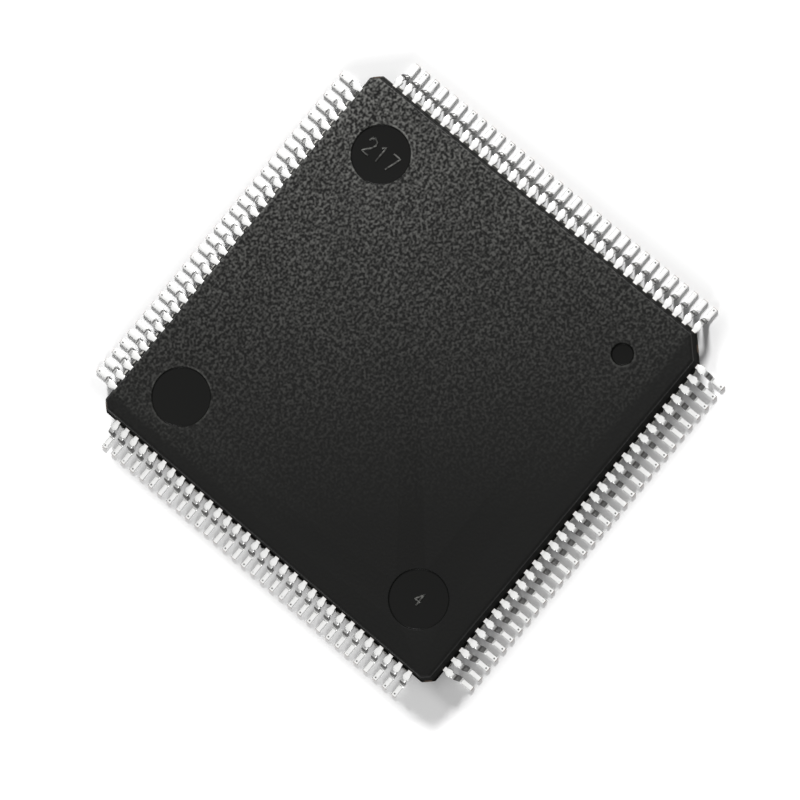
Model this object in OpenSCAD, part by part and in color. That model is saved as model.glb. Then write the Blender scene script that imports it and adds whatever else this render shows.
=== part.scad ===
// Quad flat pack: a moulded square body with gull-wing leads on all four sides.
// Origin at the middle of the seating plane, +Z up. Lead 1 is at the chamfered corner (-X, +Y)
// and the leads count counter-clockwise when seen from above.

/* [Package body] */
// Height of the moulded body, from underside to top face
body_height = 1.4; // [1.2:0.05:2]
// Gap between the seating plane and the underside of the body
standoff = 0.1; // [0.05:0.01:0.15]
// Draft of the side walls, in degrees away from upright
draft_angle = 12; // [5:1:15]
// Radius that softens the edges of the top face and the underside
edge_radius = 0.12; // [0.05:0.01:0.16]
// How far the land at the parting line stands out from the walls above and below it
parting_lip = 0.04; // [0.02:0.01:0.08]
// Distance from the centre of the last lead in a row to the body's square corner
end_margin = 0.8; // [0.75:0.05:1.2]
// Leg of the three small corner chamfers
corner_chamfer = 0.3; // [0.2:0.05:0.5]
// Gap between the edge of lead 1 and the start of the large chamfer beside it
index_gap = 0.03; // [0.01:0.01:0.2]

/* [Marks in the body] */
// Diameter of the round ejector marks
ejector_diameter = 1.95; // [1:0.05:2.4]
// Distance from the body sides to the centre of an ejector mark
ejector_inset = 2; // [1.6:0.05:2.6]
// Depth of the ejector marks
ejector_depth = 0.06; // [0.03:0.01:0.1]
// Diameter of the dimple that marks lead 1
dimple_diameter = 0.74; // [0.4:0.02:1]
// Distance from the body sides to the centre of the dimple
dimple_inset = 2; // [1.4:0.05:2.6]
// Depth of the dimple that marks lead 1
dimple_depth = 0.08; // [0.04:0.01:0.15]

/* [Leads] */
// Number of leads on each side, a multiple of four
leads_per_side = 32; // [28:4:40]
// Distance between the centres of neighbouring leads
lead_pitch = 0.4; // [0.38:0.01:0.5]
// Width of a lead at its foot
lead_width = 0.18; // [0.13:0.01:0.23]
// Thickness of the lead frame strip
lead_thickness = 0.127; // [0.1:0.001:0.15]
// Distance from the body side to the toe of the foot
lead_reach = 1; // [0.9:0.05:1.2]
// Inside radius of both bends of a lead
bend_radius = 0.08; // [0.05:0.01:0.12]
// Steepness of the leg between the two bends, in degrees from level
leg_angle = 80; // [70:1:88]
// Width over the two cut stubs of the dam bar
stub_width = 0.26; // [0.24:0.01:0.3]
// Distance from the body side to the dam bar stubs
stub_setback = 0.12; // [0.1:0.01:0.16]
// Length over which a lead widens towards the dam bar stubs
stub_taper = 0.09; // [0.04:0.01:0.09]
// Length of the dam bar stubs along the lead
stub_length = 0.13; // [0.1:0.01:0.16]

/* [Inner lead fingers] */
// Straight length of a finger just inside the body side
finger_root = 0.15; // [0.1:0.01:0.3]
// Width of a finger at its inner tip
finger_tip_width = 0.12; // [0.08:0.01:0.13]
// Gap between the edge of the paddle and the finger tips
finger_gap = 0.9; // [0.6:0.05:1.2]
// Distance from the last finger tip of a row to the corner of the square of tips
finger_corner_gap = 0.48; // [0.4:0.02:0.8]

/* [Lead-lock tape] */
// Distance from the finger tips to the inner edge of the tape ring
tape_setback = 0.8; // [0.6:0.05:1]
// Width of the tape ring
tape_width = 0.6; // [0.4:0.05:0.8]
// Thickness of the tape with its adhesive
tape_thickness = 0.075; // [0.05:0.005:0.1]

/* [Die and paddle] */
// Side of the square silicon die
die_side = 5.2; // [4.6:0.1:5.6]
// Thickness of the silicon die
die_thickness = 0.28; // [0.2:0.01:0.32]
// Thickness of the adhesive under the die
attach_thickness = 0.03; // [0.02:0.005:0.05]
// Width of adhesive that shows round the die
attach_border = 0.1; // [0.05:0.01:0.2]
// Width of the paddle that shows round the die
paddle_border = 0.7; // [0.4:0.05:0.9]
// How far the paddle is set down below the lead plane
paddle_downset = 0.25; // [0.15:0.01:0.3]
// Width of the tie bars
tie_bar_width = 0.24; // [0.16:0.01:0.3]
// Level run of the slope that sets the paddle down
downset_run = 0.35; // [0.25:0.01:0.45]

/* [Bond wires] */
// Thickness of the bond wire
wire_thickness = 0.025; // [0.018:0.001:0.033]
// Height of the wire loop above the die
loop_height = 0.2; // [0.15:0.01:0.25]
// Diameter of the ball bonded to the die
ball_diameter = 0.06; // [0.05:0.005:0.08]
// Height of the ball bonded to the die
ball_height = 0.02; // [0.01:0.005:0.03]
// Distance from the die edge to the middle of its bond pads
pad_inset = 0.1; // [0.06:0.01:0.15]
// Distance from the last bond pad of a row to the corner of the square of pads
pad_corner_gap = 0.1; // [0.05:0.01:0.3]
// Distance from the finger tip to the end of the stitch
stitch_reach = 0.2; // [0.1:0.01:0.3]
// Flattened length of wire at the stitch
stitch_length = 0.05; // [0.03:0.01:0.08]

/* [Hidden] */
SIDES = ["west", "south", "east", "north"];
BANKS = [1, 2, 3, 4];
function lead_bank_name(s, b) = str("leads_", SIDES[s], "_", b);
function wire_bank_name(s, b) = str("wires_", SIDES[s], "_", b);
SINGLE_NODES = ["mould_body", "die_paddle", "die_attach", "silicon_die", "lead_lock_tape"];

// Colours of the pieces
MOULD_COLOUR = "#2a2a2d";
PLATING_COLOUR = "#c6c8c8";
FRAME_COLOUR = "#b9744a";
GOLD_COLOUR = "#d9ac3c";
TAPE_COLOUR = "#a8692a";
DIE_COLOUR = "#5c6472";
ADHESIVE_COLOUR = "#9a9ca0";

// Facets of the drawn curves
BEND_STEPS = 6;
EDGE_STEPS = 5;
MARK_FACETS = 96;
BALL_FACETS = 16;
// How far a cutting shape runs past the face it opens
CUT_OVERRUN = 0.1;
// Slope of the walls of the marks, in degrees away from upright
MARK_DRAFT = 30;
// Corner radius of a wire loop, and the share of its span that the level stretch takes
LOOP_RADIUS = 0.06;
LOOP_LEVEL_SHARE = 0.3;

// Heights above the seating plane
body_bottom = standoff;
body_top = standoff + body_height;
lead_level = standoff + body_height / 2;
finger_top = lead_level + lead_thickness / 2;
paddle_level = lead_level - paddle_downset;
paddle_top = paddle_level + lead_thickness / 2;
attach_top = paddle_top + attach_thickness;
die_top = attach_top + die_thickness;
loop_top = die_top + loop_height;

// Plan sizes, worked outwards from the row of leads and inwards from the die
row_half = (leads_per_side - 1) * lead_pitch / 2;
body_half = row_half + end_margin;
toe = body_half + lead_reach;
paddle_half = die_side / 2 + paddle_border;
tip_half = paddle_half + finger_gap;
tip_row_half = tip_half - finger_corner_gap;
pad_half = die_side / 2 - pad_inset;
pad_row_half = pad_half - pad_corner_gap;
tape_inner = tip_half + tape_setback;
shoulder = stub_setback + stub_length;
bend_centreline = bend_radius + lead_thickness / 2;

// Legs of the corner chamfers, and the distance from the centre to each corner face along its
// diagonal, in the order of the sides
CORNER_LEGS = [end_margin - lead_width / 2 - index_gap, corner_chamfer, corner_chamfer, corner_chamfer];
function corner_reach(s) = (2 * body_half - CORNER_LEGS[s]) / sqrt(2);

leads_per_bank = leads_per_side / len(BANKS);
// Place of a lead in its row, from -1 at the first lead to 1 at the last
function row_share(i) = 2 * i / (leads_per_side - 1) - 1;
function bank_indices(b) = [for (j = [0:leads_per_bank - 1]) (b - 1) * leads_per_bank + j];

// ---- helpers for flat outlines ----

function unit_normal(a, b) = let (d = (b - a) / norm(b - a)) [-d[1], d[0]];

// Sideways step at point i of a path that keeps both edges of a strip parallel to it
function mitre(path, i) =
    i == 0 ? unit_normal(path[0], path[1])
    : i == len(path) - 1 ? unit_normal(path[i - 1], path[i])
    : let (before = unit_normal(path[i - 1], path[i]), after = unit_normal(path[i], path[i + 1]))
        (before + after) / (1 + before * after);

// Outline of a strip of even thickness that follows a path
function strip(path, thickness) = concat(
    [for (i = [0:len(path) - 1]) path[i] + mitre(path, i) * thickness / 2],
    [for (i = [len(path) - 1:-1:0]) path[i] - mitre(path, i) * thickness / 2]
);

function arc(centre, radius, from, to, steps) =
    [for (i = [0:steps]) let (a = from + (to - from) * i / steps) centre + radius * [cos(a), sin(a)]];

// Turns a shape drawn for the +X side to side s, so that +Y follows the count of the leads
module to_side(s) {
    rotate([0, 0, 180 + 90 * s]) children();
}

// Stands a flat outline up, so that its second axis is the height
module upright(width) {
    rotate([90, 0, 0]) linear_extrude(height = width, center = true) children();
}

// ---- leads ----

// Centreline of a lead seen from the side, from its inner tip to its toe
function lead_path() =
    let (
        r = bend_centreline,
        first = [body_half + shoulder, lead_level - r],
        leg_start = first + r * [sin(leg_angle), cos(leg_angle)],
        leg_drop = leg_start[1] - lead_thickness / 2 - r * (1 - cos(leg_angle)),
        leg_end = leg_start + leg_drop * [1 / tan(leg_angle), -1],
        second = leg_end + r * [sin(leg_angle), cos(leg_angle)]
    )
    concat(
        [[tip_half, lead_level]],
        arc(first, r, 90, 90 - leg_angle, BEND_STEPS),
        arc(second, r, 270 - leg_angle, 270, BEND_STEPS),
        [[toe, lead_thickness / 2]]
    );

// Stations of a lead seen from above, each with its distance out, sideways place and width
function lead_stations(i) =
    let (
        place = row_share(i) * row_half,
        stub_start = body_half + stub_setback
    )
    [
        [tip_half, row_share(i) * tip_row_half, finger_tip_width],
        [body_half - finger_root, place, lead_width],
        [stub_start - stub_taper, place, lead_width],
        [stub_start, place, stub_width],
        [body_half + shoulder, place, stub_width],
        [body_half + shoulder, place, lead_width],
        [toe, place, lead_width]
    ];

function station_outline(stations) = concat(
    [for (p = stations) [p[0], p[1] + p[2] / 2]],
    [for (k = [len(stations) - 1:-1:0]) let (p = stations[k]) [p[0], p[1] - p[2] / 2]]
);

// One lead: the bent strip trimmed to its outline seen from above
module lead(i) {
    intersection() {
        upright(2 * body_half) polygon(strip(lead_path(), lead_thickness));
        linear_extrude(height = body_top) polygon(station_outline(lead_stations(i)));
    }
}

module lead_bank(s, b) {
    color(PLATING_COLOUR) to_side(s) {
        for (i = bank_indices(b)) lead(i);
    }
}

// Room that the inner fingers of one side take in the body
module finger_room() {
    translate([0, 0, lead_level - lead_thickness / 2]) linear_extrude(height = lead_thickness) {
        for (i = [0:leads_per_side - 1]) {
            stations = lead_stations(i);
            outside = [body_half + CUT_OVERRUN, stations[1][1], lead_width];
            polygon(station_outline([stations[0], stations[1], outside]));
        }
    }
}

// ---- paddle, die and tape ----

module square_plate(half, bottom, top) {
    translate([0, 0, bottom]) linear_extrude(height = top - bottom) square(2 * half, center = true);
}

// One tie bar along +X, from the paddle up its slope and out to the given reach
module tie_bar(reach) {
    slope_start = paddle_half * sqrt(2) + tie_bar_width / 2;
    upright(tie_bar_width) polygon(strip([
        [paddle_half, paddle_level],
        [slope_start, paddle_level],
        [slope_start + downset_run, lead_level],
        [reach, lead_level]
    ], lead_thickness));
}

module paddle_with_ties(overrun) {
    square_plate(paddle_half, paddle_level - lead_thickness / 2, paddle_top);
    for (s = [0:3]) to_side(s) rotate([0, 0, -45]) tie_bar(corner_reach(s) + overrun);
}

module die_paddle() {
    color(FRAME_COLOUR) paddle_with_ties(0);
}

module die_attach() {
    color(ADHESIVE_COLOUR) square_plate(die_side / 2 + attach_border, paddle_top, attach_top);
}

module silicon_die() {
    color(DIE_COLOUR) square_plate(die_side / 2, attach_top, die_top);
}

module lead_lock_tape() {
    color(TAPE_COLOUR) translate([0, 0, finger_top]) linear_extrude(height = tape_thickness) difference() {
        square(2 * (tape_inner + tape_width), center = true);
        square(2 * tape_inner, center = true);
    }
}

// ---- bond wires ----

// Side view of a wire of the given span, from the top of its ball to the end of its stitch
function wire_path(span) =
    let (landing = finger_top + wire_thickness / 2)
    concat(
        [[0, die_top + ball_height]],
        arc([LOOP_RADIUS, loop_top - LOOP_RADIUS], LOOP_RADIUS, 180, 90, 2),
        [
            [span * LOOP_LEVEL_SHARE, loop_top],
            [span - stitch_length, landing],
            [span, landing]
        ]
    );

// One wire: ball on the die, loop, and stitch on the finger of lead i
module bond_wire(i) {
    pad = [pad_half, row_share(i) * pad_row_half];
    finger = lead_stations(i);
    tip = [finger[0][0], finger[0][1]];
    root = [finger[1][0], finger[1][1]];
    stitch = tip + (root - tip) * stitch_reach / (root[0] - tip[0]);
    span = stitch - pad;
    translate([pad[0], pad[1], 0]) {
        translate([0, 0, die_top]) cylinder(d = ball_diameter, h = ball_height, $fn = BALL_FACETS);
        rotate([0, 0, atan2(span[1], span[0])])
            upright(wire_thickness) polygon(strip(wire_path(norm(span)), wire_thickness));
    }
}

module wire_bank(s, b) {
    color(GOLD_COLOUR) to_side(s) {
        for (i = bank_indices(b)) bond_wire(i);
    }
}

// ---- moulded body ----

// Right-hand edge of the body's section, for a wall at the given distance from the middle
function wall_section(reach) =
    let (
        land = lead_thickness / 2,
        rise = body_height / 2 - land - edge_radius,
        wall = reach - parting_lip,
        centre_out = wall - rise * tan(draft_angle) - edge_radius / cos(draft_angle)
    )
    concat(
        arc([centre_out, body_bottom + edge_radius], edge_radius, -90, -draft_angle, EDGE_STEPS),
        [
            [wall, lead_level - land],
            [reach, lead_level - land],
            [reach, lead_level + land],
            [wall, lead_level + land]
        ],
        arc([centre_out, body_top - edge_radius], edge_radius, draft_angle, 90, EDGE_STEPS)
    );

// Bar of the body's section between two opposite walls, as long as the body's diagonal
module wall_pair(right_reach, left_reach) {
    right = wall_section(right_reach);
    left = wall_section(left_reach);
    mirrored_left = [for (k = [len(left) - 1:-1:0]) [-left[k][0], left[k][1]]];
    upright(4 * body_half) polygon(concat(right, mirrored_left));
}

module body_blank() {
    intersection() {
        wall_pair(body_half, body_half);
        rotate([0, 0, 90]) wall_pair(body_half, body_half);
        rotate([0, 0, 135]) wall_pair(corner_reach(0), corner_reach(2));
        rotate([0, 0, 225]) wall_pair(corner_reach(1), corner_reach(3));
    }
}

// Round mark with sloping walls, cut downwards from height zero
module round_mark(diameter, depth) {
    spread = tan(MARK_DRAFT);
    translate([0, 0, -depth]) cylinder(
        d1 = diameter - 2 * depth * spread,
        d2 = diameter + 2 * CUT_OVERRUN * spread,
        h = depth + CUT_OVERRUN,
        $fn = MARK_FACETS
    );
}

module at_corner(s, inset) {
    rotate([0, 0, 135 + 90 * s]) translate([(body_half - inset) * sqrt(2), 0, 0]) children();
}

module body_marks() {
    translate([0, 0, body_top]) {
        at_corner(0, dimple_inset) round_mark(dimple_diameter, dimple_depth);
        for (s = [1:3]) at_corner(s, ejector_inset) round_mark(ejector_diameter, ejector_depth);
    }
    translate([0, 0, body_bottom]) mirror([0, 0, 1]) {
        for (s = [0:3]) at_corner(s, ejector_inset) round_mark(ejector_diameter, ejector_depth);
    }
}

// The moulding, which fills all the room round the pieces inside it
module mould_body() {
    color(MOULD_COLOUR) difference() {
        body_blank();
        body_marks();
        for (s = [0:3]) to_side(s) finger_room();
        paddle_with_ties(CUT_OVERRUN);
        die_attach();
        silicon_die();
        lead_lock_tape();
        for (s = [0:3]) for (b = BANKS) wire_bank(s, b);
    }
}

mould_body();
die_paddle();
die_attach();
silicon_die();
lead_lock_tape();
for (s = [0:3]) for (b = BANKS) {
    lead_bank(s, b);
    wire_bank(s, b);
}
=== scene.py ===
"""Looks of the quad flat pack: moulded body, plated leads, and the pieces sealed inside.

Sizes are in millimetres, as in the part's source, and become metres only where a mesh is made.
"""

import math
from random import Random

import bmesh
import bpy
from mathutils import Matrix, Vector
from mathutils.geometry import tessellate_polygon


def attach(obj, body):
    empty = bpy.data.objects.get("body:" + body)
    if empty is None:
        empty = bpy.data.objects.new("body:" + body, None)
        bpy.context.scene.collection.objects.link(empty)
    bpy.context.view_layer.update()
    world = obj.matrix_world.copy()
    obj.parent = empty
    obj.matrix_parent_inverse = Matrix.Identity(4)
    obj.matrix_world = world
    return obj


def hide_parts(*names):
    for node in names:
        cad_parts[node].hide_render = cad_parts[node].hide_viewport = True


MM = 0.001

# ---- sizes shared with the part's source ----
LEADS_PER_SIDE = 32
LEADS_PER_BANK = 8
PITCH = 0.4
LEAD_WIDTH = 0.18
LEAD_THICKNESS = 0.127
LEAD_REACH = 1.0
BEND_RADIUS = 0.08
LEG_ANGLE = 80.0
STUB_WIDTH = 0.26
STUB_SETBACK = 0.12
STUB_TAPER = 0.09
STUB_LENGTH = 0.13
FINGER_ROOT = 0.15
FINGER_TIP_WIDTH = 0.12
TIP_HALF = 4.2
TIP_ROW_HALF = 3.72
STANDOFF = 0.1
BODY_HEIGHT = 1.4
BODY_HALF = 7.0
DRAFT = 12.0
EDGE_RADIUS = 0.12
LIP = 0.04
CORNER_LEGS = (0.68, 0.3, 0.3, 0.3)
MARK_DIAMETER = 1.95
MARK_INSET = 2.0
MARK_DEPTH = 0.06
DIMPLE_DIAMETER = 0.74
DIMPLE_DEPTH = 0.08
MARK_DRAFT = 30.0
PAD_ROW = 2.5
PAD_ROW_HALF = 2.4
PAD_HALF_WIDTH = 0.04
SIDES = ("west", "south", "east", "north")

BODY_BOTTOM = STANDOFF
BODY_TOP = STANDOFF + BODY_HEIGHT
LEAD_LEVEL = STANDOFF + BODY_HEIGHT / 2
ROW_HALF = (LEADS_PER_SIDE - 1) * PITCH / 2
TOE = BODY_HALF + LEAD_REACH

# ---- sizes of the fine detail ----
WALL_CORNER_RADIUS = 0.07
WALL_CORNER_STEPS = 4
EDGE_STEPS = 8
LIP_ROUNDING = 0.01
TIE_BAR_BURR = 0.004
LAND_RELIEF = 0.002
RIM_ROUNDING = 0.02
RIM_STEPS = 4
MARK_FACETS = 128
STROKE_WIDTH = 0.12
STROKE_HEIGHT = 0.034
STROKE_STEPS = 8
STROKE_FOOT = 0.02
DIGIT_ADVANCE = 1.6
WEST_NUMBER_HEIGHT = 0.56
EAST_NUMBER_HEIGHT = 0.42
NUMBER_HEADING = 90.0
FLASH_REACH = 0.06
FLASH_REACH_SPREAD = 0.03
FLASH_SETDOWN = 0.012
FLASH_COLUMNS = 9
FLASH_SEED = 17
LEAD_EDGE_ROUNDING = 0.022
LEAD_EDGE_STEPS = 3
BEND_STEPS = 12

# ---- camera ----
CAMERA_PLACE = (-3.83, 15.51, 100.0)
CAMERA_AIM = (0.61, 0.40, 0.8)
CAMERA_UP_HEADING = 220.1
CAMERA_LENS = 142.15

# ---- light ----
OVERHEAD_LIGHT = 1.05
BETWEEN_LIGHT = 0.2
BACKDROP_LIGHT = 0.85
AMBIENT_SHARE = 0.45


def degrees_point(angle, radius=1.0):
    a = math.radians(angle)
    return radius * math.cos(a), radius * math.sin(a)


# ---- meshes ----

def ring_strip(bm, rings):
    """Joins rings of equally many vertices, one after the other, with quads."""
    count = len(rings[0])
    for a, b in zip(rings, rings[1:]):
        for i in range(count):
            j = (i + 1) % count
            bm.faces.new((a[i], a[j], b[j], b[i]))


def cap(bm, ring):
    """Closes a small convex ring with a fan round its middle."""
    middle = bm.verts.new(sum((v.co for v in ring), Vector()) / len(ring))
    for a, b in zip(ring, ring[1:] + ring[:1]):
        bm.faces.new((a, b, middle))


def finished_object(bm, name, material, smooth_angle=35.0):
    """Object of the mesh, in metres, shaded smooth with its sharp edges kept."""
    bmesh.ops.recalc_face_normals(bm, faces=bm.faces)
    limit = math.radians(smooth_angle)
    for edge in bm.edges:
        if len(edge.link_faces) == 2:
            edge.smooth = edge.calc_face_angle(0.0) < limit
    for face in bm.faces:
        face.smooth = True
    bmesh.ops.scale(bm, vec=(MM, MM, MM), verts=bm.verts)
    mesh = bpy.data.meshes.new(name)
    bm.to_mesh(mesh)
    bm.free()
    mesh.materials.append(material)
    obj = bpy.data.objects.new(name, mesh)
    bpy.context.scene.collection.objects.link(obj)
    weighted = obj.modifiers.new("flat_faces_stay_flat", "WEIGHTED_NORMAL")
    weighted.keep_sharp = True
    return obj


# ---- moulded body ----

def body_planes(inset):
    """Heading and distance of the eight wall lines, all moved inwards by the inset."""
    planes = []
    for s in range(4):
        corner = (2 * BODY_HALF - CORNER_LEGS[s]) / math.sqrt(2) - TIE_BAR_BURR
        planes.append((135 + 90 * s, corner - inset))
        planes.append((180 + 90 * s, BODY_HALF - inset))
    return planes


def body_outline(inset):
    """Plan outline of the body at the inset, with its eight upright corners rounded."""
    planes = body_planes(inset)
    points = []
    for (h1, d1), (h2, d2) in zip(planes, planes[1:] + planes[:1]):
        c1, c2 = d1 - WALL_CORNER_RADIUS, d2 - WALL_CORNER_RADIUS
        n1, n2 = degrees_point(h1), degrees_point(h2)
        det = n1[0] * n2[1] - n1[1] * n2[0]
        centre = ((c1 * n2[1] - c2 * n1[1]) / det, (n1[0] * c2 - n2[0] * c1) / det)
        for k in range(WALL_CORNER_STEPS + 1):
            dx, dy = degrees_point(h1 + 45 * k / WALL_CORNER_STEPS, WALL_CORNER_RADIUS)
            points.append((centre[0] + dx, centre[1] + dy))
    return points


def body_profile():
    """Inset and height of the wall, from the edge of the underside to the edge of the top face."""
    land = LEAD_THICKNESS / 2 - LAND_RELIEF
    rise = BODY_HEIGHT / 2 - LEAD_THICKNESS / 2 - EDGE_RADIUS
    tan_draft = math.tan(math.radians(DRAFT))
    centre_in = LIP + rise * tan_draft + EDGE_RADIUS / math.cos(math.radians(DRAFT))
    half = []
    for k in range(EDGE_STEPS + 1):
        dx, dz = degrees_point(90 - (90 - DRAFT) * k / EDGE_STEPS, EDGE_RADIUS)
        half.append((centre_in - dx, BODY_HEIGHT / 2 - EDGE_RADIUS + dz))
    half.append((LIP + 0.01 * tan_draft, land + 0.01))
    half.append((LIP, land))
    half.append((LIP_ROUNDING, land))
    for k in (1, 2, 3):
        dx, dz = degrees_point(90 - 30 * k, LIP_ROUNDING)
        half.append((LIP_ROUNDING - dx, land - LIP_ROUNDING + dz))
    lower = [(inset, LEAD_LEVEL - dz) for inset, dz in half]
    upper = [(inset, LEAD_LEVEL + dz) for inset, dz in reversed(half)]
    return lower + upper


def circle(centre, radius, z):
    return [
        Vector((centre[0] + radius * math.cos(a), centre[1] + radius * math.sin(a), z))
        for a in (2 * math.pi * k / MARK_FACETS for k in range(MARK_FACETS))
    ]


def mark_rings(radius, depth):
    """Radius and depth of the rings of a round mark, from its rounded rim to its floor."""
    rings = []
    slope = 90 - MARK_DRAFT
    step_back = RIM_ROUNDING * math.tan(math.radians(slope / 2))
    for k in range(RIM_STEPS + 1):
        a = math.radians(slope * k / RIM_STEPS)
        rings.append((radius + step_back - RIM_ROUNDING * math.sin(a), RIM_ROUNDING * (1 - math.cos(a))))
    floor = radius - depth * math.tan(math.radians(MARK_DRAFT))
    for k in range(RIM_STEPS, -1, -1):
        a = math.radians(slope * k / RIM_STEPS)
        fillet_depth = depth - RIM_ROUNDING * (1 - math.cos(a))
        rings.append((floor - step_back + RIM_ROUNDING * math.sin(a), fillet_depth))
    return rings


def marked_face(bm, outline, z, up, marks):
    """Flat face inside the outline with round marks sunk in it. up is 1 on top, -1 underneath."""
    loops = [list(outline)]
    sunk = []
    for centre, radius, depth in marks:
        rings = [
            [bm.verts.new(p) for p in circle(centre, r, z - up * d)]
            for r, d in mark_rings(radius, depth)
        ]
        loops.append(rings[0])
        sunk.append(rings)
    flat = [v for loop in loops for v in loop]
    for tri in tessellate_polygon([[v.co for v in loop] for loop in loops]):
        bm.faces.new([flat[i] for i in tri])
    for rings in sunk:
        ring_strip(bm, rings)
        cap(bm, rings[-1])


def corner_place(s, inset):
    """Place of a round mark at a corner, on the diagonal."""
    return degrees_point(135 + 90 * s, (BODY_HALF - inset) * math.sqrt(2))


def ridge(bm, points, z):
    """Raised stroke along the points on a floor at height z, with a rounded top and ends."""
    section = []
    for k in range(STROKE_STEPS + 1):
        t = -1 + 2 * k / STROKE_STEPS
        section.append((t * STROKE_WIDTH / 2, STROKE_HEIGHT * (1 + math.cos(math.pi * t)) / 2 - 0.002))
    section += [(STROKE_WIDTH / 2, -STROKE_FOOT), (-STROKE_WIDTH / 2, -STROKE_FOOT)]
    rings = []
    for i, p in enumerate(points):
        before = Vector(points[max(i - 1, 0)])
        after = Vector(points[min(i + 1, len(points) - 1)])
        along = (after - before).normalized()
        side = Vector((-along[1], along[0]))
        rings.append([
            bm.verts.new((p[0] + side[0] * w, p[1] + side[1] * w, z + h)) for w, h in section
        ])
    ring_strip(bm, rings)
    cap(bm, rings[0])
    cap(bm, rings[-1])


# Strokes of plain digits in a box one unit wide and two high
DIGIT_STROKES = {
    "1": [[(0.15, 1.6), (0.5, 2.0), (0.5, 0.0)]],
    "7": [[(0.0, 2.0), (1.0, 2.0), (0.35, 0.0)]],
    "4": [[(0.75, 0.0), (0.75, 2.0), (0.0, 0.7), (1.0, 0.7)]],
    "2": [[(0.0, 1.45), (0.12, 1.8), (0.5, 2.0), (0.88, 1.8), (1.0, 1.4), (0.8, 0.95), (0.0, 0.0),
           (1.0, 0.0)]],
}


def dense(points, step):
    """The same polyline with extra points, so that its bends turn over a short length."""
    out = []
    for a, b in zip(points, points[1:]):
        a, b = Vector(a), Vector(b)
        count = max(2, round((b - a).length / step))
        out += [a.lerp(b, k / count) for k in range(count)]
    return out + [Vector(points[-1])]


def raised_number(bm, digits, centre, z, height):
    """Plain mould cavity number, raised on the floor of a mark."""
    scale = height / 2
    spin = Matrix.Rotation(math.radians(NUMBER_HEADING), 2)
    start = -(DIGIT_ADVANCE * (len(digits) - 1) + 1) / 2
    for k, digit in enumerate(digits):
        for stroke in DIGIT_STROKES[digit]:
            points = []
            for p in dense(stroke, 0.25):
                q = spin @ (Vector((start + DIGIT_ADVANCE * k + p[0], p[1] - 1)) * scale)
                points.append((centre[0] + q[0], centre[1] + q[1]))
            ridge(bm, points, z)


def resin_flash(bm, rng):
    """Thin remains of resin that the dam bar held back, between the leads of each side."""
    for s in range(4):
        spin = Matrix.Rotation(math.radians(180 + 90 * s), 3, "Z")
        for g in range(LEADS_PER_SIDE - 1):
            middle = -ROW_HALF + PITCH * (g + 0.5)
            reach = FLASH_REACH + FLASH_REACH_SPREAD * rng.random()
            half_width = (PITCH - LEAD_WIDTH) / 2
            top = LEAD_LEVEL + LEAD_THICKNESS / 2 - FLASH_SETDOWN - 0.01 * rng.random()
            bottom = LEAD_LEVEL - LEAD_THICKNESS / 2 + FLASH_SETDOWN
            rings = []
            for c in range(FLASH_COLUMNS):
                t = -1 + 2 * c / (FLASH_COLUMNS - 1)
                bow = reach * (1 - 0.7 * t * t) * (0.9 + 0.2 * rng.random())
                y = middle + t * half_width
                outer = BODY_HALF + bow
                inner = BODY_HALF - 0.02
                rings.append([
                    bm.verts.new(spin @ Vector(p)) for p in (
                        (inner, y, top), (outer - 0.008, y, top), (outer, y, top - 0.01),
                        (outer, y, bottom + 0.01), (outer - 0.008, y, bottom), (inner, y, bottom),
                    )
                ])
            ring_strip(bm, rings)
            cap(bm, rings[0])
            cap(bm, rings[-1])


def build_body(material):
    bm = bmesh.new()
    rings = []
    for inset, z in body_profile():
        rings.append([bm.verts.new((x, y, z)) for x, y in body_outline(inset)])
    ring_strip(bm, rings)
    marks_top = [(corner_place(0, MARK_INSET), DIMPLE_DIAMETER / 2, DIMPLE_DEPTH)]
    marks_top += [(corner_place(s, MARK_INSET), MARK_DIAMETER / 2, MARK_DEPTH) for s in (1, 2, 3)]
    marks_under = [(corner_place(s, MARK_INSET), MARK_DIAMETER / 2, MARK_DEPTH) for s in range(4)]
    marked_face(bm, rings[-1], BODY_TOP, 1, marks_top)
    marked_face(bm, rings[0], BODY_BOTTOM, -1, marks_under)
    bmesh.ops.recalc_face_normals(bm, faces=bm.faces)
    floor = BODY_TOP - MARK_DEPTH
    raised_number(bm, "217", corner_place(1, MARK_INSET), floor, WEST_NUMBER_HEIGHT)
    raised_number(bm, "4", corner_place(3, MARK_INSET), floor, EAST_NUMBER_HEIGHT)
    resin_flash(bm, Random(FLASH_SEED))
    return finished_object(bm, "moulded_body", material)


# ---- leads ----

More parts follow.
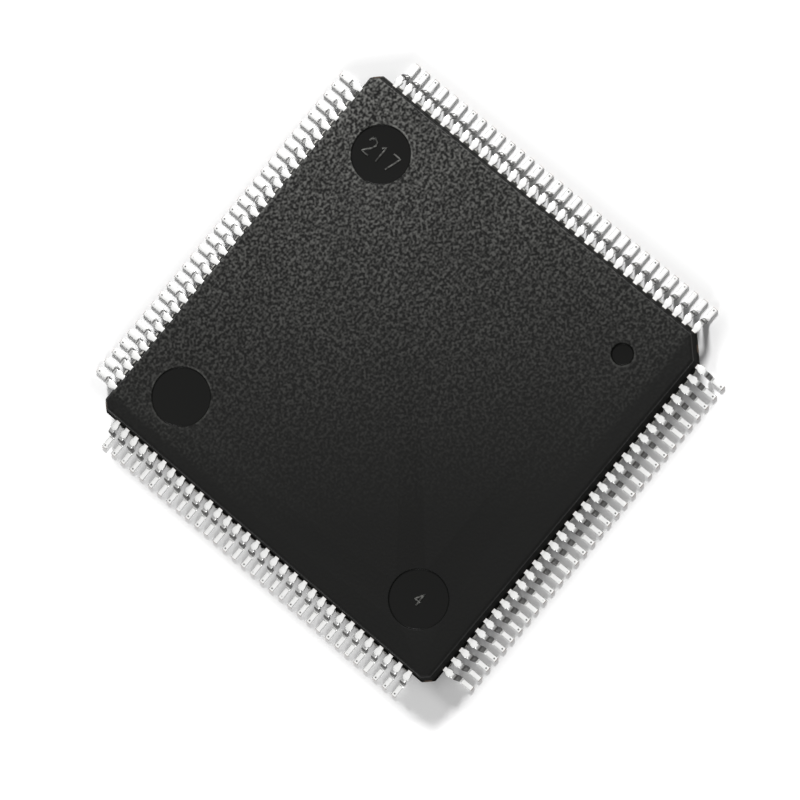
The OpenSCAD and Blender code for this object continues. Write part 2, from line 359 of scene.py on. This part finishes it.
def lead_centreline():
    """Distance out and height along a lead's middle line, from its inner tip to its toe."""
    r = BEND_RADIUS + LEAD_THICKNESS / 2
    angle = math.radians(LEG_ANGLE)
    first = Vector((BODY_HALF + STUB_SETBACK + STUB_LENGTH, LEAD_LEVEL - r))
    leg_start = first + r * Vector((math.sin(angle), math.cos(angle)))
    drop = leg_start[1] - LEAD_THICKNESS / 2 - r * (1 - math.cos(angle))
    leg_end = leg_start + drop * Vector((1 / math.tan(angle), -1))
    second = leg_end + r * Vector((math.sin(angle), math.cos(angle)))
    stub = BODY_HALF + STUB_SETBACK
    level = [TIP_HALF, TIP_HALF + 0.01, TIP_HALF + 0.6, BODY_HALF - FINGER_ROOT, BODY_HALF]
    level += [stub - STUB_TAPER * (1 - k / 6) for k in range(7)]
    level += [stub + STUB_LENGTH * share for share in (0.3, 0.6, 0.8, 0.9, 0.96, 0.985)]
    points = [(Vector((x, LEAD_LEVEL)), 0.0) for x in level]
    for k in range(BEND_STEPS + 1):
        a = LEG_ANGLE * k / BEND_STEPS
        dx, dz = degrees_point(90 - a, r)
        points.append((first + Vector((dx, dz)), a))
    for k in range(1, 6):
        points.append((leg_start.lerp(leg_end, k / 6), LEG_ANGLE))
    for k in range(BEND_STEPS + 1):
        a = LEG_ANGLE * (1 - k / BEND_STEPS)
        dx, dz = degrees_point(270 - a, r)
        points.append((second + Vector((dx, dz)), a))
    foot = second[0]
    for k in range(1, 6):
        points.append((Vector((foot + (TOE - foot) * k / 5, LEAD_THICKNESS / 2)), 0.0))
    return points


def lead_width_at(x):
    """Width over a lead at a distance out: tapered finger, straight root, then the dam bar stubs."""
    root = BODY_HALF - FINGER_ROOT
    taper_start = BODY_HALF + STUB_SETBACK - STUB_TAPER
    share = (x - taper_start) / (STUB_TAPER + STUB_LENGTH)
    if x < root:
        return FINGER_TIP_WIDTH + (LEAD_WIDTH - FINGER_TIP_WIDTH) * (x - TIP_HALF) / (root - TIP_HALF)
    if share < 0 or share > 0.999:
        return LEAD_WIDTH
    swell = min(1.0, 1.25 * math.sin(min(share * 0.62, 0.5) * math.pi))
    shorn = 1 - max(0.0, (share - 0.86) / 0.14) ** 2 * 0.55
    return LEAD_WIDTH + (STUB_WIDTH - LEAD_WIDTH) * swell * shorn


def lead_section(width, thickness):
    """Rounded rectangle round the middle line, across and up."""
    r = min(LEAD_EDGE_ROUNDING, thickness / 2.2, width / 2.2)
    points = []
    for cx, cz, start in (
        (width / 2 - r, thickness / 2 - r, 0), (-width / 2 + r, thickness / 2 - r, 90),
        (-width / 2 + r, -thickness / 2 + r, 180), (width / 2 - r, -thickness / 2 + r, 270),
    ):
        for k in range(LEAD_EDGE_STEPS + 1):
            dx, dz = degrees_point(start + 90 * k / LEAD_EDGE_STEPS, r)
            points.append((cx + dx, cz + dz))
    return points


def add_lead(bm, i, side):
    """One gull-wing lead, as a tube of rounded sections along its bent middle line."""
    share = 2 * i / (LEADS_PER_SIDE - 1) - 1
    spin = Matrix.Rotation(math.radians(180 + 90 * side), 3, "Z")
    root = BODY_HALF - FINGER_ROOT
    rings = []
    for p, lean in lead_centreline():
        width = lead_width_at(p[0])
        place = share * ROW_HALF
        if p[0] < root:
            t = (p[0] - TIP_HALF) / (root - TIP_HALF)
            place = share * (TIP_ROW_HALF + (ROW_HALF - TIP_ROW_HALF) * t)
        up = Vector(degrees_point(90 - lean))
        ring = []
        for across, high in lead_section(width, LEAD_THICKNESS):
            q = p + up * high
            ring.append(bm.verts.new(spin @ Vector((q[0], place + across, q[1]))))
        rings.append(ring)
    ring_strip(bm, rings)
    cap(bm, rings[0])
    cap(bm, rings[-1])


def build_lead_bank(side, bank, material):
    bm = bmesh.new()
    for j in range(LEADS_PER_BANK):
        add_lead(bm, bank * LEADS_PER_BANK + j, side)
    name = f"plated_leads_{SIDES[side]}_{bank + 1}"
    return finished_object(bm, name, material, smooth_angle=40.0)


# ---- materials ----

class Nodes:
    """Short hand for building a node material."""

    def __init__(self, name):
        self.material = bpy.data.materials.new(name)
        self.material.use_nodes = True
        self.tree = self.material.node_tree
        self.shader = self.tree.nodes["Principled BSDF"]

    def add(self, kind, **settings):
        n = self.tree.nodes.new(kind)
        inputs = settings.pop("inputs", {})
        for key, value in settings.items():
            setattr(n, key, value)
        for key, value in inputs.items():
            if isinstance(value, bpy.types.NodeSocket):
                self.tree.links.new(value, n.inputs[key])
            else:
                n.inputs[key].default_value = value
        return n

    def millimetres(self):
        place = self.add("ShaderNodeTexCoord").outputs["Object"]
        scaled = self.add("ShaderNodeVectorMath", operation="SCALE", inputs={0: place, "Scale": 1 / MM})
        return scaled.outputs[0]

    def math(self, operation, a, b=0.0, clamp=False):
        n = self.add("ShaderNodeMath", operation=operation, use_clamp=clamp, inputs={0: a, 1: b})
        return n.outputs[0]

    def noise(self, vector, scale, detail=2.0, roughness=0.5):
        return self.add("ShaderNodeTexNoise", inputs={
            "Vector": vector, "Scale": scale, "Detail": detail, "Roughness": roughness,
        }).outputs["Fac"]

    def remap(self, value, low, high, out_low=0.0, out_high=1.0, smooth=False):
        kind = "SMOOTHSTEP" if smooth else "LINEAR"
        return self.add("ShaderNodeMapRange", interpolation_type=kind, inputs={
            "Value": value, "From Min": low, "From Max": high, "To Min": out_low, "To Max": out_high,
        }).outputs[0]

    def mix(self, share, a, b):
        n = self.add("ShaderNodeMix", data_type="RGBA", inputs={"Factor": share})
        for socket, value in (("A", a), ("B", b)):
            target = next(s for s in n.inputs if s.name == socket and s.type == "RGBA")
            if isinstance(value, bpy.types.NodeSocket):
                self.tree.links.new(value, target)
            else:
                target.default_value = (*value, 1.0)
        return next(s for s in n.outputs if s.type == "RGBA")

    def set(self, **sockets):
        for key, value in sockets.items():
            socket = self.shader.inputs[key.replace("_", " ")]
            if isinstance(value, bpy.types.NodeSocket):
                self.tree.links.new(value, socket)
            elif isinstance(value, tuple):
                socket.default_value = (*value, 1.0)
            else:
                socket.default_value = value

    def bump(self, height, strength, distance):
        n = self.add("ShaderNodeBump", inputs={
            "Strength": strength, "Distance": distance * MM, "Height": height,
        })
        self.set(Normal=n.outputs["Normal"])


def mould_material():
    """Black filled epoxy: spark-eroded grain and polished marks, with painted sheen, shade and highlights:
    the grain is painted lighter towards the corner that faces the key lamp.
    """
    m = Nodes("mould_compound")
    p = m.millimetres()
    x, y, z = m.add("ShaderNodeSeparateXYZ", inputs={0: p}).outputs
    plan = m.add("ShaderNodeCombineXYZ", inputs={0: x, 1: y}).outputs[0]
    above = m.math("SUBTRACT", z, LEAD_LEVEL)
    from_parting = m.math("ABSOLUTE", above)
    wall = m.remap(from_parting, BODY_HEIGHT / 2 - EDGE_RADIUS, BODY_HEIGHT / 2 - 0.03, 1.0, 0.0)
    out = m.math("MAXIMUM", m.math("ABSOLUTE", x), m.math("ABSOLUTE", y))

    # the dimple is on top only, and a large mark lies under it
    first_radius = m.remap(above, -0.01, 0.01, MARK_DIAMETER / 2, DIMPLE_DIAMETER / 2)
    grained = m.math("SUBTRACT", 1.0, m.math("MULTIPLY", wall, 0.9))
    rims, floors = 0.0, 0.0
    for s, radius in enumerate((first_radius, MARK_DIAMETER / 2, MARK_DIAMETER / 2, MARK_DIAMETER / 2)):
        centre = (*corner_place(s, MARK_INSET), 0.0)
        away = m.add("ShaderNodeVectorMath", operation="DISTANCE", inputs={0: plan, 1: centre})
        beyond = m.math("SUBTRACT", away.outputs["Value"], radius)
        grained = m.math("MULTIPLY", grained, m.remap(beyond, -0.03, 0.01))
        rim = m.math("MULTIPLY", m.remap(beyond, -0.02, 0.01), m.remap(beyond, 0.03, 0.07, 1.0, 0.0))
        rims = m.math("MAXIMUM", rim, rims)
        floors = m.math("MAXIMUM", m.remap(beyond, -0.09, -0.06, 1.0, 0.0), floors)

    # 1 at the corner between west and south, which faces the key lamp, falling to 0 near the opposite
    # corner: a painted sheen on the grain
    cos_sheen, sin_sheen = degrees_point(45.0)
    across = m.math("ADD", m.math("MULTIPLY", x, cos_sheen), m.math("MULTIPLY", y, sin_sheen))
    key_side_sheen = m.math("POWER", m.remap(across, 5.0, -9.3), 1.5)
    sheen_and_edge_shade = key_side_sheen
    # the grain is also painted darker along the east and north edges of the body, away from the key lamp:
    # painted shade
    for axis, start, end in ((x, 6.25, 6.5), (y, 6.0, 6.4)):
        sheen_and_edge_shade = m.math("MULTIPLY", sheen_and_edge_shade, m.remap(axis, start, end, 1.0, 0.12, smooth=True))

    coarse = m.noise(p, 8.6, 0.0)
    shifted = m.add("ShaderNodeVectorMath", operation="ADD", inputs={0: p, 1: (3.7, 8.1, 5.3)}).outputs[0]
    fine = m.noise(shifted, 12.5, 0.0)
    grain = m.math("ADD", m.math("MULTIPLY", coarse, 0.5), m.math("MULTIPLY", fine, 0.5))
    ridges = m.math("POWER", m.remap(grain, 0.36, 0.66), 1.5)
    patchy = m.remap(m.noise(p, 0.9, 2.0, 0.5), 0.3, 0.7, 0.88, 1.12)
    light = m.math("MULTIPLY", m.math("MULTIPLY", ridges, grained), m.math("MULTIPLY", sheen_and_edge_shade, patchy))

    # a broken pale ring just outside each round mark, stronger towards the key lamp: a painted highlight
    broken = m.remap(m.noise(p, 1.6, 1.0, 0.5), 0.42, 0.58)
    painted_rim_highlight = m.math("MULTIPLY", m.math("MULTIPLY", rims, broken), m.math("MULTIPLY", key_side_sheen, 0.8))
    # the raised digits on the mark floors are painted pale, patchy by noise: a painted highlight on the
    # strokes
    raised = m.remap(z, BODY_TOP - MARK_DEPTH + 0.010, BODY_TOP - MARK_DEPTH + 0.028)
    painted_number_highlight = m.math("MULTIPLY", floors, raised)
    painted_number_highlight = m.math("MULTIPLY", painted_number_highlight, m.remap(coarse, 0.35, 0.6, 0.3, 1.0))
    # a pale band round the parting line, stronger towards the key lamp: a painted highlight
    parting_lip_highlight = m.math("MULTIPLY", m.remap(from_parting, 0.066, 0.072, 0.45, 0.0), key_side_sheen)
    for more in (painted_rim_highlight, painted_number_highlight, parting_lip_highlight):
        light = m.math("ADD", light, more, clamp=True)
    colour = m.mix(light, (0.0052, 0.0053, 0.0049), (0.150, 0.150, 0.142))

    # the outer part of the flash between the leads is painted pale, patchy by noise: a painted highlight
    flash_outer = m.remap(out, BODY_HALF + 0.022, BODY_HALF + 0.034)
    flash = m.math("MULTIPLY", flash_outer, m.remap(coarse, 0.3, 0.5))
    colour = m.mix(flash, colour, (0.62, 0.61, 0.58))

    dull = m.math("MULTIPLY", wall, 0.7)
    roughness = m.math("MAXIMUM", m.remap(grained, 0.0, 1.0, 0.30, 0.60), dull)
    m.set(Base_Color=colour, Roughness=roughness, Specular_IOR_Level=m.remap(wall, 0.0, 1.0, 0.15, 0.03))
    depth = m.math("MULTIPLY", m.math("MULTIPLY", grain, grained), m.remap(sheen_and_edge_shade, 0.0, 1.0, 0.35, 1.0))
    m.bump(depth, 0.8, 0.03)
    return m.material


def plating_material():
    """Matte tin over copper: bright where it is level, painted near black down the bends and legs as a
    painted dark reflection, bare at the cut toe.
    """
    m = Nodes("lead_plating")
    p = m.millimetres()
    x, y, z = m.add("ShaderNodeSeparateXYZ", inputs={0: p}).outputs
    out = m.math("MAXIMUM", m.math("ABSOLUTE", x), m.math("ABSOLUTE", y))
    # the bends and legs between the level shoulder and foot are painted near black: a painted dark
    # reflection, not a change of finish
    upper = m.remap(z, 0.79, 0.85, 0.0, 1.0, smooth=True)
    lower = m.remap(z, 0.14, 0.24, 1.0, 0.0, smooth=True)
    level = m.math("ADD", upper, lower, clamp=True)
    mottle = m.noise(p, 14.0, 3.0, 0.6)
    bright = m.mix(mottle, (0.86, 0.86, 0.85), (0.97, 0.97, 0.96))
    colour = m.mix(level, (0.045, 0.043, 0.041), bright)
    # small dark stain near the toe of most feet
    lateral = m.math("MINIMUM", m.math("ABSOLUTE", x), m.math("ABSOLUTE", y))
    phase = m.math("SUBTRACT", m.math("FRACT", m.math("DIVIDE", lateral, PITCH)), 0.5)
    off = m.math("MULTIPLY", phase, PITCH)
    spot = m.add("ShaderNodeCombineXYZ", inputs={0: m.math("SUBTRACT", out, TOE - 0.085), 1: off}).outputs[0]
    away = m.add("ShaderNodeVectorMath", operation="LENGTH", inputs={0: spot}).outputs["Value"]
    stained = m.math("MULTIPLY", m.remap(away, 0.012, 0.040, 1.0, 0.0),
                     m.remap(m.noise(p, 1.7, 0.0), 0.44, 0.50))
    colour = m.mix(stained, colour, (0.05, 0.048, 0.045))
    colour = m.mix(m.remap(out, TOE - 0.012, TOE - 0.004), colour, (0.20, 0.15, 0.12))
    # inside the body the frame is bare copper
    inside = m.remap(out, BODY_HALF - 0.06, BODY_HALF - 0.03, 1.0, 0.0)
    colour = m.mix(inside, colour, (0.72, 0.36, 0.22))
    m.set(Base_Color=colour, Metallic=1.0, Roughness=m.remap(mottle, 0.3, 0.7, 0.28, 0.40))
    m.bump(m.noise(p, 30.0, 2.0, 0.6), 0.3, 0.004)
    return m.material


def paddle_material():
    """Bare copper, dull and brown where the cut tie bars come out at the corners."""
    m = Nodes("frame_copper")
    p = m.millimetres()
    tone = m.noise(p, 5.0, 3.0, 0.6)
    away = m.add("ShaderNodeVectorMath", operation="LENGTH", inputs={0: p}).outputs["Value"]
    cut = m.remap(away, 9.2, 9.3)
    copper = m.mix(m.remap(tone, 0.35, 0.65), (0.55, 0.25, 0.14), (0.80, 0.42, 0.27))
    m.set(Base_Color=m.mix(cut, copper, (0.10, 0.075, 0.06)), Metallic=1.0,
          Roughness=m.remap(tone, 0.3, 0.7, 0.30, 0.46))
    m.bump(tone, 0.4, 0.004)
    return m.material


def sealed_material(name, dark, light, scale, metallic, roughness, bump):
    """Material of a piece inside the body: two tones mixed by noise, with a fine bump."""
    m = Nodes(name)
    p = m.millimetres()
    tone = m.noise(p, scale, 3.0, 0.6)
    m.set(Base_Color=m.mix(m.remap(tone, 0.35, 0.65), dark, light), Metallic=metallic,
          Roughness=m.remap(tone, 0.3, 0.7, roughness - 0.08, roughness + 0.08))
    m.bump(tone, 0.4, bump)
    return m.material


def die_material():
    """Silicon with its ring of bond pads and faint blocks of circuitry."""
    m = Nodes("silicon")
    p = m.millimetres()
    x, y, _ = m.add("ShaderNodeSeparateXYZ", inputs={0: p}).outputs
    x, y = m.math("ABSOLUTE", x), m.math("ABSOLUTE", y)
    edge = m.math("MAXIMUM", x, y)
    run = m.math("MINIMUM", x, y)
    near, far = PAD_ROW - PAD_HALF_WIDTH, PAD_ROW + PAD_HALF_WIDTH
    pad_ring = m.math("MULTIPLY", m.remap(edge, near - 0.005, near + 0.005),
                      m.remap(edge, far - 0.005, far + 0.005, 1.0, 0.0))
    in_row = m.math("LESS_THAN", run, PAD_ROW_HALF + 0.05)
    pad_pitch = 2 * PAD_ROW_HALF / (LEADS_PER_SIDE - 1)
    phase = m.math("ABSOLUTE", m.math("SUBTRACT", m.math("FRACT", m.math("DIVIDE", run, pad_pitch)), 0.5))
    pads = m.math("MULTIPLY", m.math("MULTIPLY", pad_ring, in_row), m.math("LESS_THAN", phase, 0.26))
    blocks = m.add("ShaderNodeTexVoronoi", distance="CHEBYCHEV", feature="F1", inputs={
        "Vector": p, "Scale": 1.3, "Randomness": 0.8,
    }).outputs["Color"]
    tone = m.mix(0.5, (0.10, 0.12, 0.17), (0.16, 0.14, 0.20))
    field = m.add("ShaderNodeMix", data_type="RGBA", inputs={"Factor": 0.12})
    m.tree.links.new(tone, next(s for s in field.inputs if s.name == "A" and s.type == "RGBA"))
    m.tree.links.new(blocks, next(s for s in field.inputs if s.name == "B" and s.type == "RGBA"))
    circuitry = next(s for s in field.outputs if s.type == "RGBA")
    colour = m.mix(pads, circuitry, (0.86, 0.86, 0.88))
    m.set(Base_Color=colour, Metallic=m.remap(pads, 0, 1, 0.35, 1.0),
          Roughness=m.remap(pads, 0, 1, 0.22, 0.35))
    return m.material


def floor_material():
    """White paper that glows for camera and glossy rays: lifted to white beyond the part's own shadow, and
    lifted a little on the east and north sides, a painted light in the part's shadow there.
    """
    m = Nodes("floor_paper")
    p = m.millimetres()
    x, y, _ = m.add("ShaderNodeSeparateXYZ", inputs={0: p}).outputs
    fibre = m.noise(p, 0.8, 3.0, 0.6)
    paper = m.mix(fibre, (0.88, 0.88, 0.88), (0.90, 0.90, 0.90))
    m.set(Base_Color=paper, Roughness=0.9, Specular_IOR_Level=0.0)
    path = m.add("ShaderNodeLightPath").outputs
    seen = m.math("MAXIMUM", m.math("MAXIMUM", path["Is Camera Ray"], path["Is Glossy Ray"]),
                  path["Is Transmission Ray"])
    # the floor glows more on the east and north sides, away from the key light: painted light that lifts the
    # part's shadow there, so the shade under the leads is deepest on the sides that face the key light
    east_painted_lift = m.remap(x, BODY_HALF - 0.4, BODY_HALF + 0.4, 0.02, 0.24, smooth=True)
    north_painted_lift = m.remap(y, BODY_HALF - 0.4, BODY_HALF + 0.4, 0.02, 0.13, smooth=True)
    lift = m.math("MAXIMUM", east_painted_lift, north_painted_lift)
    flat_x, flat_y = m.math("ABSOLUTE", x), m.math("ABSOLUTE", y)
    corner = TOE + ROW_HALF
    beyond_toes = m.remap(m.math("MAXIMUM", flat_x, flat_y), TOE - 0.4, TOE + 1.6, 0.0, 0.40, smooth=True)
    beyond_corners = m.remap(m.math("ADD", flat_x, flat_y), corner, corner + 2.0, 0.0, 0.40, smooth=True)
    for far in (beyond_toes, beyond_corners):
        lift = m.math("MAXIMUM", lift, far)
    m.set(Emission_Color=(1.0, 1.0, 1.0), Emission_Strength=m.math("MULTIPLY", seen, lift))
    return m.material


# ---- stage, light and camera ----

def build_floor():
    bm = bmesh.new()
    rings = []
    for radius in (0.0005, 0.02, 0.1, 0.5, 3.0):
        rings.append([
            bm.verts.new((radius * math.cos(a), radius * math.sin(a), 0.0))
            for a in (2 * math.pi * k / 64 for k in range(64))
        ])
    ring_strip(bm, rings)
    cap(bm, rings[0])
    bmesh.ops.recalc_face_normals(bm, faces=bm.faces)
    mesh = bpy.data.meshes.new("floor")
    bm.to_mesh(mesh)
    bm.free()
    mesh.materials.append(floor_material())
    floor = bpy.data.objects.new("floor", mesh)
    bpy.context.scene.collection.objects.link(floor)


def set_world():
    """A studio: soft box overhead, dim between, and a pale backdrop round the horizon."""
    world = bpy.data.worlds.new("studio")
    bpy.context.scene.world = world
    world.use_nodes = True
    tree = world.node_tree
    background = tree.nodes["Background"]
    place = tree.nodes.new("ShaderNodeTexCoord")
    split = tree.nodes.new("ShaderNodeSeparateXYZ")
    tree.links.new(place.outputs["Generated"], split.inputs[0])
    shares = []
    for low, high, out_low, out_high in (
        (0.78, 0.90, BETWEEN_LIGHT, OVERHEAD_LIGHT), (0.20, 0.40, BACKDROP_LIGHT, BETWEEN_LIGHT),
    ):
        ramp = tree.nodes.new("ShaderNodeMapRange")
        ramp.interpolation_type = "SMOOTHSTEP"
        tree.links.new(split.outputs[2], ramp.inputs["Value"])
        limits = {"From Min": low, "From Max": high, "To Min": out_low, "To Max": out_high}
        for key, value in limits.items():
            ramp.inputs[key].default_value = value
        shares.append(ramp.outputs[0])
    brightest = tree.nodes.new("ShaderNodeMath")
    brightest.operation = "MAXIMUM"
    tree.links.new(shares[0], brightest.inputs[0])
    tree.links.new(shares[1], brightest.inputs[1])
    # matt surfaces get only a share of the studio, so that the lamps model the leads
    path = tree.nodes.new("ShaderNodeLightPath").outputs
    seen = path["Is Camera Ray"]
    for ray in ("Is Glossy Ray", "Is Transmission Ray"):
        either = tree.nodes.new("ShaderNodeMath")
        either.operation = "MAXIMUM"
        tree.links.new(seen, either.inputs[0])
        tree.links.new(path[ray], either.inputs[1])
        seen = either.outputs[0]
    share = tree.nodes.new("ShaderNodeMapRange")
    share.inputs["To Min"].default_value = AMBIENT_SHARE
    tree.links.new(seen, share.inputs["Value"])
    strength = tree.nodes.new("ShaderNodeMath")
    strength.operation = "MULTIPLY"
    tree.links.new(brightest.outputs[0], strength.inputs[0])
    tree.links.new(share.outputs[0], strength.inputs[1])
    tree.links.new(strength.outputs[0], background.inputs["Strength"])
    background.inputs["Color"].default_value = (1.0, 1.0, 1.0, 1.0)


def add_lamp(name, heading, height, distance, size, power):
    """Round lamp that faces the part. Heading and height are in degrees, the rest is in SI units."""
    data = bpy.data.lights.new(name, "AREA")
    data.shape = "DISK"
    data.size = size
    data.energy = power
    lamp = bpy.data.objects.new(name, data)
    flat, up = degrees_point(height, distance)
    dx, dy = degrees_point(heading, flat)
    lamp.location = (dx, dy, up)
    lamp.rotation_euler = (-Vector(lamp.location)).to_track_quat("-Z", "Y").to_euler()
    bpy.context.scene.collection.objects.link(lamp)


def add_camera():
    data = bpy.data.cameras.new("camera")
    data.sensor_width = 36.0
    data.lens = CAMERA_LENS
    data.clip_start, data.clip_end = 0.005, 20.0
    camera = bpy.data.objects.new("camera", data)
    place = Vector(CAMERA_PLACE) * MM
    back = (place - Vector(CAMERA_AIM) * MM).normalized()
    heading = Vector((*degrees_point(CAMERA_UP_HEADING), 0.0))
    up = (heading - back * heading.dot(back)).normalized()
    right = up.cross(back)
    camera.matrix_world = Matrix.Translation(place) @ Matrix((right, up, back)).transposed().to_4x4()
    bpy.context.scene.collection.objects.link(camera)
    bpy.context.scene.camera = camera


def assign(node, material):
    """Gives a CAD node that stays on show its material."""
    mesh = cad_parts[node].data
    if mesh.materials:
        for k in range(len(mesh.materials)):
            mesh.materials[k] = material
    else:
        mesh.materials.append(material)


# ---- the scene ----

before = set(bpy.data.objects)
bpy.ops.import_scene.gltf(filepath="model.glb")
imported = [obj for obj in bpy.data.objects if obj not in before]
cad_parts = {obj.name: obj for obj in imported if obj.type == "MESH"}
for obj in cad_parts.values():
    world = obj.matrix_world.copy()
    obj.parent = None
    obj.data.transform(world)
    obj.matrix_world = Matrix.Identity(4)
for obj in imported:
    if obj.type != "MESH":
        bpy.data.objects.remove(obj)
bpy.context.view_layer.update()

mould = mould_material()
plating = plating_material()

body = build_body(mould)
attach(body, "root")
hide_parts("mould_body")

for side in range(4):
    for bank in range(4):
        leads = build_lead_bank(side, bank, plating)
        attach(leads, "root")
        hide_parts(f"leads_{SIDES[side]}_{bank + 1}")

assign("die_paddle", paddle_material())
adhesive = sealed_material("die_adhesive", (0.40, 0.40, 0.41), (0.60, 0.60, 0.61), 12.0, 0.3, 0.5, 0.006)
assign("die_attach", adhesive)
assign("silicon_die", die_material())
tape = sealed_material("polyimide_tape", (0.32, 0.13, 0.03), (0.50, 0.22, 0.05), 7.0, 0.0, 0.35, 0.003)
assign("lead_lock_tape", tape)
gold = sealed_material("bond_gold", (0.75, 0.50, 0.18), (0.95, 0.70, 0.30), 20.0, 1.0, 0.25, 0.001)
for side in SIDES:
    for bank in range(1, 5):
        assign(f"wires_{side}_{bank}", gold)

build_floor()
set_world()
add_lamp("key", heading=222.0, height=41.0, distance=0.2, size=0.04, power=0.42)
add_lamp("fill", heading=28.0, height=27.0, distance=0.2, size=0.06, power=0.13)
add_camera()
bpy.context.scene.view_settings.view_transform = "Standard"
